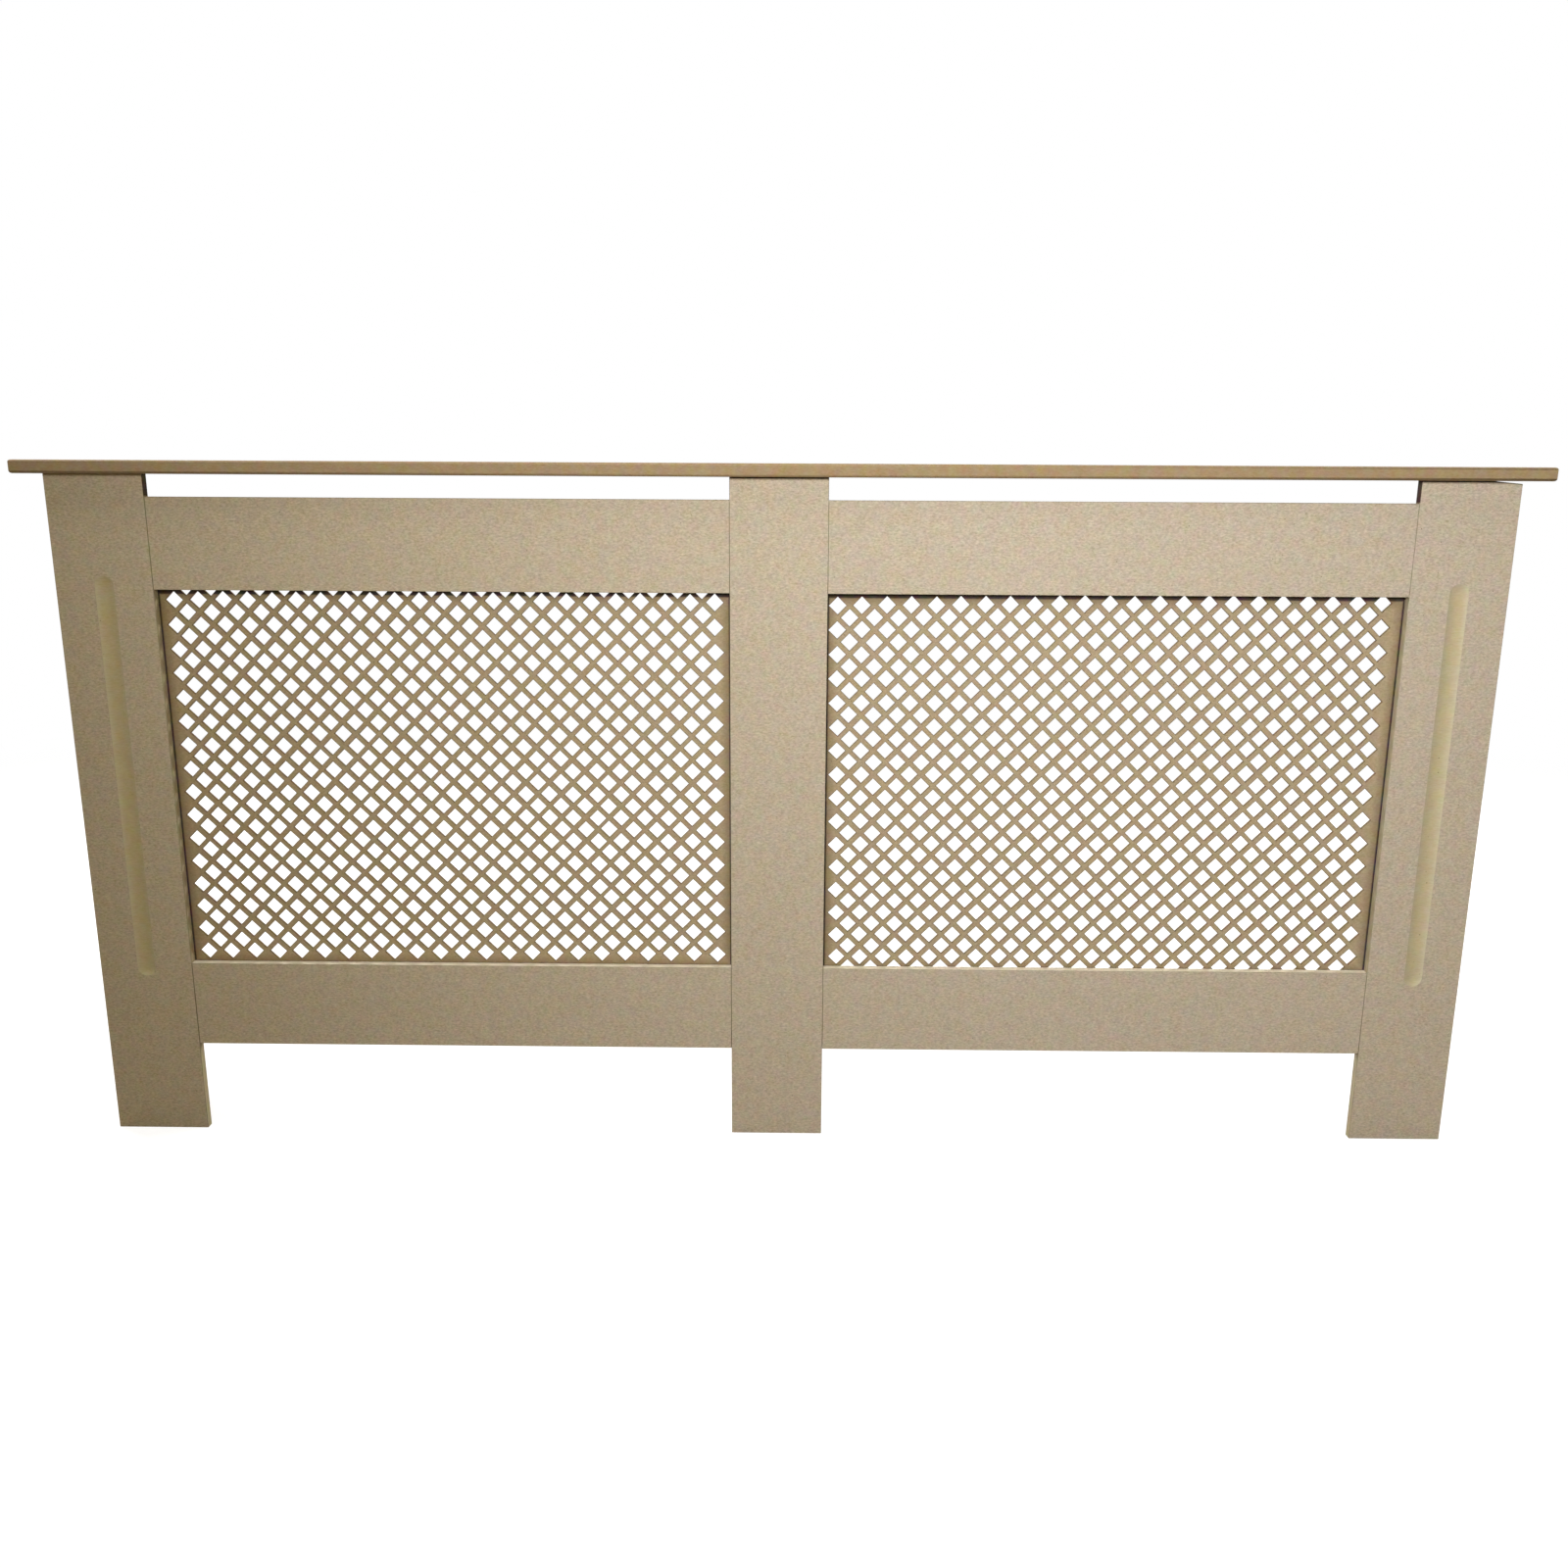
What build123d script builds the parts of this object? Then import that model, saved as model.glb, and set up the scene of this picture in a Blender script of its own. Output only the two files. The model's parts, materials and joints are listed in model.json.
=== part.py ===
"""Radiator cover cabinet in raw fibreboard.

A thin shelf lies on a flat front frame and two side panels. The frame has three
stiles and four rails, and a diamond lattice panel closes each of its two openings
from behind. The back and the floor are open, so the cabinet slides over a radiator.
Plates, corner blocks and screws behind the frame hold the boards together, and two
angle brackets hold the cabinet to the wall.

Axes: +X along the shelf, +Y from the front to the wall, +Z up. The origin is on the
floor, below the middle of the shelf. All sizes are in millimetres.
"""

import os

from build123d import *

# --- Front frame -----------------------------------------------------------------
BODY_LENGTH = 1660.0  # over the outer edges of the end stiles
STILE_HEIGHT = 800.0
STILE_WIDTH = 112.0
BOARD_THICKNESS = 12.0  # stiles, rails and side panels
FLOOR_GAP = 114.0  # below the bottom rails
BOTTOM_RAIL_HEIGHT = 105.0
TOP_RAIL_HEIGHT = 105.0
AIR_SLOT_HEIGHT = 25.0  # between the top rails and the shelf

# --- Routed flute of an end stile ------------------------------------------------
FLUTE_WIDTH = 22.0
FLUTE_DEPTH = 3.5
FLUTE_LENGTH = 484.0

# --- Side panels -----------------------------------------------------------------
SIDE_DEPTH = 163.0  # from the back of the frame to the wall
SKIRTING_HEIGHT = 120.0  # notch that clears the room's skirting board
SKIRTING_DEPTH = 20.0

# --- Shelf -----------------------------------------------------------------------
SHELF_THICKNESS = 15.0
SHELF_END_OVERHANG = 30.0
SHELF_FRONT_OVERHANG = 15.0
SHELF_ARRIS_RADIUS = 2.0

# --- Lattice panels --------------------------------------------------------------
# A real panel has 32 rows of 22 or 23 diamonds on a 28.5 mm pitch. The model keeps
# their layout, and the share of the panel that is open, on a wider pitch.
LATTICE_THICKNESS = 3.0
LATTICE_SIDE_LAP = 19.0  # how far a panel reaches behind each stile
LATTICE_END_LAP = 23.5  # how far it reaches behind each rail
LATTICE_PITCH = 48.0
LATTICE_HOLE_DIAGONAL = 34.0
LATTICE_SIDE_MARGIN = 12.0  # least room beside the holes' outer centres
LATTICE_END_MARGIN = 8.0  # least room above and below them
LATTICE_FIELD_SHIFT = 9.0  # the holes lie nearer to one long edge of the panel

# --- Pan-head wood screws --------------------------------------------------------
# Screws and their holes are drawn with a few flat sides, to keep the model light.
SCREW_SIDES = 6
SCREW_RADIUS = 1.75
SCREW_HEAD_RADIUS = 3.5
SCREW_HEAD_HEIGHT = 2.0
SCREW_BITE = 9.0  # how far a screw goes into a board
SCREW_CLEARANCE = 0.4  # round a screw in the piece that it holds
PILOT_CLEARANCE = 0.05  # round a screw in the board that it bites

# --- Steel plates that join the rails to the stiles ------------------------------
PLATE_LENGTH = 60.0
PLATE_WIDTH = 16.0
PLATE_THICKNESS = 1.5
PLATE_SCREW_SPACING = 44.0

# --- Plastic corner blocks -------------------------------------------------------
BLOCK_SIDE = 15.0
BLOCK_LENGTH = 36.0
BLOCK_BEVEL = 3.5
BLOCK_SCREW_SPACING = 18.0
CORNER_BLOCK_COUNT = 3  # up each corner of the frame
CORNER_BLOCK_SPACING = 290.0
SHELF_BLOCK_COUNT = 2  # along each side panel
SHELF_BLOCK_SPACING = 75.0
CENTRE_BLOCK_COUNT = 2  # across the centre stile
CENTRE_BLOCK_SPACING = 58.0

# --- Steel angle brackets for the wall -------------------------------------------
BRACKET_LEG = 40.0
BRACKET_WIDTH = 20.0
BRACKET_THICKNESS = 2.0
WALL_HOLE_RADIUS = 2.25
BRACKET_HOLE_SPACING = 16.0
BRACKET_HOLE_EDGE = 9.0  # from the end of a leg to its outer hole
BRACKET_DROP = 70.0  # from the shelf to the middle of the bracket

# --- Places worked out from the sizes --------------------------------------------
shelf_length = BODY_LENGTH + 2 * SHELF_END_OVERHANG
shelf_depth = SHELF_FRONT_OVERHANG + BOARD_THICKNESS + SIDE_DEPTH
wall_y = shelf_depth / 2
front_y = SHELF_FRONT_OVERHANG - shelf_depth / 2
frame_back_y = front_y + BOARD_THICKNESS

# The left half of the frame, where x is negative.
outer_x = -BODY_LENGTH / 2
side_inner_x = outer_x + BOARD_THICKNESS
end_stile_x = outer_x + STILE_WIDTH  # inner edge of the end stile
centre_stile_x = -STILE_WIDTH / 2  # left edge of the centre stile
opening_width = centre_stile_x - end_stile_x
opening_x = (end_stile_x + centre_stile_x) / 2

bottom_rail_top = FLOOR_GAP + BOTTOM_RAIL_HEIGHT
top_rail_top = STILE_HEIGHT - AIR_SLOT_HEIGHT
top_rail_bottom = top_rail_top - TOP_RAIL_HEIGHT
opening_height = top_rail_bottom - bottom_rail_top
opening_z = (top_rail_bottom + bottom_rail_top) / 2

screw_hole_radius = SCREW_RADIUS + SCREW_CLEARANCE

os.makedirs("parts", exist_ok=True)


def save(piece, label):
    """Name a finished piece and write it."""
    piece.part.label = label
    export_step(piece.part, f"parts/{label}.step")


def save_pair(left_piece, label):
    """Write a left-hand piece, and its mirror image for the right-hand side."""
    save(left_piece, f"left_{label}")
    with BuildPart() as right_piece:
        mirror(left_piece.part, about=Plane.YZ)
    save(right_piece, f"right_{label}")


def evenly_spaced(middle, count, spacing):
    """Positions of a row of pieces about its middle."""
    return [middle + (step - (count - 1) / 2) * spacing for step in range(count)]


# --- Screws ----------------------------------------------------------------------
# A seat is where a screw's head rests, with its local z axis pointing out of it. The
# grip is the thickness of what the screw holds, and below that it bites the board.
def screws(seats, grip):
    """A group of screws, one on each seat."""
    with BuildPart() as group:
        with BuildSketch(*seats):
            RegularPolygon(SCREW_HEAD_RADIUS, SCREW_SIDES)
        extrude(amount=SCREW_HEAD_HEIGHT)
        with BuildSketch(*seats):
            RegularPolygon(SCREW_RADIUS, SCREW_SIDES)
        extrude(amount=-grip - SCREW_BITE)
    return group


def bores(seats, radius, depth):
    """What is drilled away for screws on those seats, from each seat down."""
    with BuildPart() as drilled:
        with BuildSketch(*seats):
            RegularPolygon(radius, SCREW_SIDES)
        extrude(amount=-depth)
    return drilled


def pilots(seats, grip):
    """The pilot holes of those screws in the boards that they bite."""
    return bores(seats, SCREW_RADIUS + PILOT_CLEARANCE, grip + SCREW_BITE)


# --- Seats on the corner blocks --------------------------------------------------
# A block lies in the corner of its local x and y planes, and runs along local z. One
# screw goes through it towards local -y and the other towards local -x.
toward_minus_y = Location((BLOCK_SIDE / 2, BLOCK_SIDE, -BLOCK_SCREW_SPACING / 2), (-90, 0, 0))
toward_minus_x = Location((BLOCK_SIDE, BLOCK_SIDE / 2, BLOCK_SCREW_SPACING / 2), (0, 90, 0))

corner_block_places = [
    Location((side_inner_x, frame_back_y, height))
    for height in evenly_spaced(STILE_HEIGHT / 2, CORNER_BLOCK_COUNT, CORNER_BLOCK_SPACING)
]
shelf_block_places = [
    Plane((side_inner_x, depth, STILE_HEIGHT), x_dir=(1, 0, 0), z_dir=(0, 1, 0)).location
    for depth in evenly_spaced(
        frame_back_y + SIDE_DEPTH / 2, SHELF_BLOCK_COUNT, SHELF_BLOCK_SPACING
    )
]
centre_block_places = [
    Plane((place, frame_back_y, STILE_HEIGHT), x_dir=(0, 1, 0), z_dir=(-1, 0, 0)).location
    for place in evenly_spaced(0, CENTRE_BLOCK_COUNT, CENTRE_BLOCK_SPACING)
]

corner_to_stile = [place * toward_minus_y for place in corner_block_places]
corner_to_side = [place * toward_minus_x for place in corner_block_places]
side_to_shelf = [place * toward_minus_y for place in shelf_block_places]
shelf_to_side = [place * toward_minus_x for place in shelf_block_places]
centre_to_shelf = [place * toward_minus_y for place in centre_block_places]
centre_to_stile = [place * toward_minus_x for place in centre_block_places]

# --- Places of the joining plates and the wall brackets --------------------------
plate_joints = [
    (joint_x, rail_z)
    for joint_x in (end_stile_x, centre_stile_x)
    for rail_z in (
        (FLOOR_GAP + bottom_rail_top) / 2,
        (top_rail_bottom + top_rail_top) / 2,
    )
]
bracket_z = STILE_HEIGHT - BRACKET_DROP
bracket_outer_hole = BRACKET_LEG - BRACKET_HOLE_EDGE
bracket_holes = [bracket_outer_hole - BRACKET_HOLE_SPACING, bracket_outer_hole]
bracket_seats = [
    Plane(
        (side_inner_x + BRACKET_THICKNESS, wall_y - hole, bracket_z),
        x_dir=(0, 1, 0),
        z_dir=(1, 0, 0),
    ).location
    for hole in bracket_holes
]

# --- Pilot holes -----------------------------------------------------------------
corner_to_stile_pilots = pilots(corner_to_stile, BLOCK_SIDE)
corner_to_side_pilots = pilots(corner_to_side, BLOCK_SIDE)
side_to_shelf_pilots = pilots(side_to_shelf, BLOCK_SIDE)
shelf_to_side_pilots = pilots(shelf_to_side, BLOCK_SIDE)
centre_to_shelf_pilots = pilots(centre_to_shelf, BLOCK_SIDE)
centre_to_stile_pilots = pilots(centre_to_stile, BLOCK_SIDE)
bracket_pilots = pilots(bracket_seats, BRACKET_THICKNESS)


# --- Boards of the front frame ---------------------------------------------------
def frame_board(left, right, low, high):
    """A flat board of the frame between two x and two z positions."""
    with BuildPart() as board:
        with BuildSketch(Plane.XZ.offset(-frame_back_y)):
            with Locations(((left + right) / 2, (low + high) / 2)):
                Rectangle(right - left, high - low)
        extrude(amount=BOARD_THICKNESS)
    return board


end_board = frame_board(outer_x, end_stile_x, 0, STILE_HEIGHT)
with BuildPart() as left_end_stile:
    add(end_board.part)
    # The flute is the track of a round-nosed cutter, so its ends are round too.
    cutter_radius = (FLUTE_WIDTH**2 / 4 + FLUTE_DEPTH**2) / (2 * FLUTE_DEPTH)
    cutter_y = front_y + FLUTE_DEPTH - cutter_radius
    flute_x = (outer_x + end_stile_x) / 2
    cutter_travel = FLUTE_LENGTH - FLUTE_WIDTH
    with Locations((flute_x, cutter_y, opening_z)):
        Cylinder(cutter_radius, cutter_travel, mode=Mode.SUBTRACT)
    cutter_stops = evenly_spaced(opening_z, 2, cutter_travel)
    with Locations(*[(flute_x, cutter_y, stop) for stop in cutter_stops]):
        Sphere(cutter_radius, mode=Mode.SUBTRACT)
    add(corner_to_stile_pilots.part, mode=Mode.SUBTRACT)
save_pair(left_end_stile, "end_stile")

centre_board = frame_board(centre_stile_x, -centre_stile_x, 0, STILE_HEIGHT)
with BuildPart() as centre_stile:
    add(centre_board.part)
    add(centre_to_stile_pilots.part, mode=Mode.SUBTRACT)
save(centre_stile, "centre_stile")

left_bottom_rail = frame_board(end_stile_x, centre_stile_x, FLOOR_GAP, bottom_rail_top)
save_pair(left_bottom_rail, "bottom_rail")

left_top_rail = frame_board(end_stile_x, centre_stile_x, top_rail_bottom, top_rail_top)
save_pair(left_top_rail, "top_rail")

# --- Lattice panels --------------------------------------------------------------
# The holes stand in long rows and short rows in turn, and a short row's holes lie
# half a pitch in from the ends of a long one. The panel's top row is a short one.
half_pitch = LATTICE_PITCH / 2
hole_side = LATTICE_HOLE_DIAGONAL / 2**0.5
long_row_holes = int((opening_width - 2 * LATTICE_SIDE_MARGIN) / LATTICE_PITCH) + 1
row_pairs = int((opening_height - 2 * LATTICE_END_MARGIN + half_pitch) / LATTICE_PITCH)
rows = [
    (long_row_holes, LATTICE_FIELD_SHIFT - half_pitch / 2),
    (long_row_holes - 1, LATTICE_FIELD_SHIFT + half_pitch / 2),
]

lattice_plane = Plane((opening_x, frame_back_y, opening_z), x_dir=(1, 0, 0), z_dir=(0, -1, 0))
with BuildPart() as left_lattice_panel:
    with BuildSketch(lattice_plane):
        Rectangle(opening_width + 2 * LATTICE_SIDE_LAP, opening_height + 2 * LATTICE_END_LAP)
        for row_holes, row_shift in rows:
            with Locations((0, row_shift)):
                with GridLocations(LATTICE_PITCH, LATTICE_PITCH, row_holes, row_pairs):
                    Rectangle(hole_side, hole_side, rotation=45, mode=Mode.SUBTRACT)
    extrude(amount=-LATTICE_THICKNESS)
save(left_lattice_panel, "left_lattice_panel")

# The right-hand panel is the same one, turned end for end.
with BuildPart() as right_lattice_panel:
    with Locations(Location((0, 0, 2 * opening_z), (0, 180, 0))):
        add(left_lattice_panel.part)
save(right_lattice_panel, "right_lattice_panel")

# --- Side panels -----------------------------------------------------------------
with BuildPart() as left_side_panel:
    with BuildSketch(Plane.YZ.offset(outer_x)):
        with BuildLine():
            Polyline(
                (frame_back_y, 0),
                (wall_y - SKIRTING_DEPTH, 0),
                (wall_y - SKIRTING_DEPTH, SKIRTING_HEIGHT),
                (wall_y, SKIRTING_HEIGHT),
                (wall_y, STILE_HEIGHT),
                (frame_back_y, STILE_HEIGHT),
                close=True,
            )
        make_face()
    extrude(amount=BOARD_THICKNESS)
    add(corner_to_side_pilots.part, mode=Mode.SUBTRACT)
    add(shelf_to_side_pilots.part, mode=Mode.SUBTRACT)
    add(bracket_pilots.part, mode=Mode.SUBTRACT)
save_pair(left_side_panel, "side_panel")

# --- Shelf -----------------------------------------------------------------------
with BuildPart() as top_shelf:
    with BuildSketch(Plane.XY.offset(STILE_HEIGHT)):
        Rectangle(shelf_length, shelf_depth)
    extrude(amount=SHELF_THICKNESS)
    # The arrises round the shelf's top and underside are rounded but for the wall's.
    arrises = top_shelf.faces().filter_by(Axis.Z).edges()
    fillet(arrises.sort_by(Axis.Y)[:-2], SHELF_ARRIS_RADIUS)
    add(side_to_shelf_pilots.part, mode=Mode.SUBTRACT)
    mirror(side_to_shelf_pilots.part, about=Plane.YZ, mode=Mode.SUBTRACT)
    add(centre_to_shelf_pilots.part, mode=Mode.SUBTRACT)
save(top_shelf, "top_shelf")

# --- Joining plates --------------------------------------------------------------
with BuildPart() as left_joining_plates:
    with BuildSketch(Plane((0, frame_back_y, 0), x_dir=(1, 0, 0), z_dir=(0, -1, 0))):
        with Locations(*plate_joints):
            Rectangle(PLATE_LENGTH, PLATE_WIDTH)
            with GridLocations(PLATE_SCREW_SPACING, 0, 2, 1):
                RegularPolygon(screw_hole_radius, SCREW_SIDES, mode=Mode.SUBTRACT)
    extrude(amount=-PLATE_THICKNESS)
save_pair(left_joining_plates, "joining_plates")

# --- Corner blocks ---------------------------------------------------------------
block_bores = bores([toward_minus_y, toward_minus_x], screw_hole_radius, BLOCK_SIDE)
with BuildPart() as corner_block:
    with BuildSketch(Plane.XY.offset(-BLOCK_LENGTH / 2)):
        Rectangle(BLOCK_SIDE, BLOCK_SIDE, align=(Align.MIN, Align.MIN))
    extrude(amount=BLOCK_LENGTH)
    free_edge = corner_block.edges().filter_by(Axis.Z).sort_by_distance((0, 0, 0))[-1]
    chamfer(free_edge, BLOCK_BEVEL)
    add(block_bores.part, mode=Mode.SUBTRACT)


def corner_blocks(places):
    """A group of corner blocks."""
    with BuildPart() as group:
        with Locations(*places):
            add(corner_block.part)
    return group


save_pair(corner_blocks(corner_block_places), "corner_blocks")
save_pair(corner_blocks(shelf_block_places), "shelf_blocks")
save(corner_blocks(centre_block_places), "centre_shelf_blocks")
save_pair(screws(corner_to_stile + corner_to_side, BLOCK_SIDE), "corner_block_screws")
save_pair(screws(side_to_shelf + shelf_to_side, BLOCK_SIDE), "shelf_block_screws")
save(screws(centre_to_shelf + centre_to_stile, BLOCK_SIDE), "centre_shelf_block_screws")

# --- Wall brackets ---------------------------------------------------------------
bracket_bores = bores(bracket_seats, screw_hole_radius, BRACKET_THICKNESS)
with BuildPart() as left_wall_bracket:
    with BuildSketch(Plane.XY.offset(bracket_z - BRACKET_WIDTH / 2)):
        with Locations((side_inner_x, wall_y)):
            corner = (Align.MIN, Align.MAX)
            Rectangle(BRACKET_LEG, BRACKET_THICKNESS, align=corner)
            Rectangle(BRACKET_THICKNESS, BRACKET_LEG, align=corner)
    extrude(amount=BRACKET_WIDTH)
    add(bracket_bores.part, mode=Mode.SUBTRACT)
    with BuildSketch(Plane((side_inner_x, wall_y, bracket_z), x_dir=(1, 0, 0), z_dir=(0, -1, 0))):
        with Locations(*[(hole, 0) for hole in bracket_holes]):
            Circle(WALL_HOLE_RADIUS)
    extrude(amount=BRACKET_THICKNESS, mode=Mode.SUBTRACT)
save_pair(left_wall_bracket, "wall_bracket")
save_pair(screws(bracket_seats, BRACKET_THICKNESS), "wall_bracket_screws")
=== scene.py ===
"""Radiator cover cabinet in raw fibreboard: its boards, lattice panels and fastenings.

Run as a script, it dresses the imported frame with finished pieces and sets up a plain
studio round it. All lengths are in metres, in the frame's own axes: +X along the
shelf, +Y from the front to the wall, +Z up.
"""

import json
import math
import random
from functools import partial

import bmesh
import bpy
from bpy.props import FloatProperty, FloatVectorProperty, IntProperty, PointerProperty
from mathutils import Matrix, Vector


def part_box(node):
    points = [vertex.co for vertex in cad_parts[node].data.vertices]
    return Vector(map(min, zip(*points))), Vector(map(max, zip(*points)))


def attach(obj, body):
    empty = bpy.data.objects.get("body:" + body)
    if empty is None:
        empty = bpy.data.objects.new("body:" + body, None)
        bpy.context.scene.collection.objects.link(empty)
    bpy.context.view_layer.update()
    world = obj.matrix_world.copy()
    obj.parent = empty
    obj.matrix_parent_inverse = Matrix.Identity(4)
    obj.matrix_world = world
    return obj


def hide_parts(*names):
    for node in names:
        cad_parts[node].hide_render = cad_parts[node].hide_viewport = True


bl_info = {
    "name": "Radiator Cover",
    "version": (1, 0, 0),
    "blender": (4, 5, 0),
    "location": "View3D > Sidebar > Radiator Cover",
    "description": "Builds a raw fibreboard radiator cover with diamond lattice panels",
    "category": "Add Mesh",
}

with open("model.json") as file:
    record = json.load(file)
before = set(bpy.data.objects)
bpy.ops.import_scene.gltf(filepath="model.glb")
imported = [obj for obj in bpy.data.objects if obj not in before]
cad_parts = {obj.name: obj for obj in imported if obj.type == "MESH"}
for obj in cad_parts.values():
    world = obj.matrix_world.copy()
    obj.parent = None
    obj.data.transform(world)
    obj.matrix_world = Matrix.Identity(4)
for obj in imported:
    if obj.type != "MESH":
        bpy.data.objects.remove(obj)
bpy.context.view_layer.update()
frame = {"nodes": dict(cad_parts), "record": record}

MM = 0.001
BODY = "root"
SIDES = ("left", "right")
X, Y, Z = 0, 1, 2

# Places nearer than this count as the same, and points nearer than MERGE are merged.
NEAR = 0.1 * MM
MERGE = 0.01 * MM

# The least share of a broad face's normal that lies along its board's thickness.
FLAT = 0.999

# The eased edges of a stile's top end lie within this of its top.
TOP_END = 2 * MM

# How far from its end the saw ran out, along the right end stile's top and over the
# depth of the side panel behind it.
STILE_RUN_OUT = 32 * MM
SIDE_RUN_OUT = 120 * MM

# The record's openings stop this far short of the edges round them.
OPENING_MARGIN = 2 * MM

# Seed of the lattice holes' small errors.
LATTICE_SEED = 31


def linear(hex_code):
    """Linear RGBA of an sRGB hex value."""
    channels = [int(hex_code[i : i + 2], 16) / 255 for i in (0, 2, 4)]
    return tuple(
        c / 12.92 if c <= 0.04045 else ((c + 0.055) / 1.055) ** 2.4 for c in channels
    ) + (1.0,)


# --- Sizes and colours that a user would change ---------------------------------------
def length(name, description, millimetres, lowest=0.0):
    return FloatProperty(
        name=name,
        description=description,
        default=millimetres * MM,
        min=lowest * MM,
        precision=5,
        unit="LENGTH",
        subtype="DISTANCE",
    )


def count(name, description, default):
    return IntProperty(name=name, description=description, default=default, min=1)


def colour(name, description, hex_code):
    return FloatVectorProperty(
        name=name,
        description=description,
        default=linear(hex_code),
        size=4,
        min=0.0,
        max=1.0,
        subtype="COLOR",
    )


def power(name, description, watts):
    return FloatProperty(
        name=name, description=description, default=watts, min=0.0, unit="POWER"
    )


class BoardSizes(bpy.types.PropertyGroup):
    """Sizes of the boards' finish."""

    arris: length("Arris", "How far the sharp edges of the sawn boards are eased", 0.5)
    top_arris: length("Top arris", "How far the stiles' top front edges are eased", 1.4)
    joint: length("Joint", "How far a rail stops short of a stile", 0.2)
    open_joint: length("Open joint", "The same at the left rails' left ends", 0.45)
    back_arris: length("Back arris", "How far the frame's rear edges are eased", 0.9)
    shelf_arris: length("Shelf arris", "Radius of the shelf's rounded arrises", 2.8)
    rail_relief: length("Rail relief", "How short the top rails are cut below", 1.0)
    flute_width: length("Flute width", "Width of the routed flutes", 22.0)
    flute_depth: length("Flute depth", "Depth of the routed flutes", 2.4)
    flute_length: length("Flute length", "Length of a flute with its round ends", 484.0)
    saw_error: length("Saw error", "How far the right top corner falls away", 3.0)


class LatticeSizes(bpy.types.PropertyGroup):
    """Sizes of the lattice panels."""

    pitch: length("Pitch", "Spacing of the diamonds in a row", 28.45)
    diagonal: length("Diagonal", "Diagonal of one diamond hole", 20.4)
    rim: length("Rim", "Width of the scorched rim of a hole", 0.7)
    drift: length("Drift", "How far a hole can lie off its own row and column", 0.5)
    row_drift: length("Row drift", "How far a row or column can lie off its place", 0.3)
    long_row: count("Long row", "Holes in a long row", 23)
    row_pairs: count("Row pairs", "Pairs of a long and a short row", 16)
    field_shift: length("Field shift", "How far the holes lie off the middle", 8.3)
    right_shift_x: length("Right panel along", "The right field's shift", -4.2, -20)
    right_shift_z: length("Right panel up", "How high the right field lies", 3.5)
    right_turn: FloatProperty(
        name="Right panel turn",
        description="How far the right-hand panel is out of level",
        default=math.radians(0.53),
        subtype="ANGLE",
    )


class FasteningSizes(bpy.types.PropertyGroup):
    """Sizes of the screws, plates, blocks and brackets."""

    head_radius: length("Head radius", "Radius of a pan head", 3.5)
    head_height: length("Head height", "Height of a pan head", 2.0)
    shank_radius: length("Shank radius", "Radius of a screw's shank", 1.75)
    bite: length("Bite", "How far a screw goes into a board", 8.0)
    plate_screw_spacing: length("Plate screw spacing", "Between a plate's screws", 44.0)
    plate_corner: length("Plate corner", "Radius of a plate's corners", 3.0)
    plate_arris: length("Plate arris", "Chamfer round a plate's outer face", 0.3)
    block_bevel: length("Block bevel", "Bevel on a block's free edge", 3.5)
    block_arris: length("Block arris", "Rounding of a moulded block's edges", 0.7)
    bracket_thickness: length("Bracket thickness", "Thickness of a wall bracket", 2.0)
    bracket_corner: length("Bracket corner", "Radius of a bracket's corners", 3.0)
    wall_hole_radius: length("Wall hole radius", "Radius of a bracket's holes", 2.25)
    wall_hole_spacing: length("Wall hole spacing", "Between a bracket's holes", 16.0)
    lattice_screw_edge: length("Panel screw edge", "From panel edge to screw", 9.0)
    lattice_screw_end: length("Panel screw end", "From panel end to screw", 40.0)


class FinishColours(bpy.types.PropertyGroup):
    """Colours of the raw boards, the steel and the plastic."""

    face_pale: colour("Face, pale", "Palest fibres of a sanded face", "F4E6D5")
    face_dark: colour("Face, dark", "Darkest fibres of a sanded face", "8D7E60")
    edge_skin: colour("Edge, skin", "Sawn edge near the faces", "AFA68F")
    edge_core: colour("Edge, core", "Sawn edge in the middle of a board", "B2A78D")
    # Painted top light: surfaces that face up are painted paler.
    painted_top_light: colour("Ledge", "Fine pale dust on surfaces that face up", "ECE1CB")
    flute_skin: colour("Flute, skin", "Routed flute near the face", "CEC4A8")
    flute_core: colour("Flute, core", "Routed core at the bottom of a flute", "CABC99")
    shelf_skin: colour("Shelf edge, skin", "Shelf edge near the faces", "A79071")
    shelf_core: colour("Shelf edge, core", "Shelf edge in the middle", "A89170")
    lattice_pale: colour("Lattice, pale", "Palest fibres of the thin board", "D2BFA2")
    lattice_dark: colour("Lattice, dark", "Darkest fibres of the thin board", "998663")
    rim_pale: colour("Lattice rim, pale", "Scorched rim of a lattice hole", "A2927A")
    rim_dark: colour("Lattice rim, dark", "Dark fibres in a scorched rim", "746549")
    # Painted shade on the thin board where it runs in behind the frame.
    lattice_shade: colour("Lattice, shade", "Thin board beside the frame", "6C573C")
    lattice_cut: colour("Lattice, cut", "Walls of the cut holes", "7E664B")
    # Painted shade: a dark line in the crevices, the air slots and under the shelf.
    painted_shading: colour("Painted shade", "Dust in the crevices and the air slots", "33282A")
    # Painted warm light: the boards are tinted yellower towards the left end.
    painted_warm_light: colour("Painted warm light", "What the boards' left end is tinted by", "FCF8EA")
    fleck: colour("Fleck", "Bark flecks in the boards", "5E4A33")
    zinc: colour("Zinc", "Bright zinc on the plates and brackets", "D2D6DA")
    screw: colour("Screw", "Zinc on the screws", "CBCCC9")
    plastic: colour("Plastic", "Moulded corner blocks", "E8E5DC")


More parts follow.
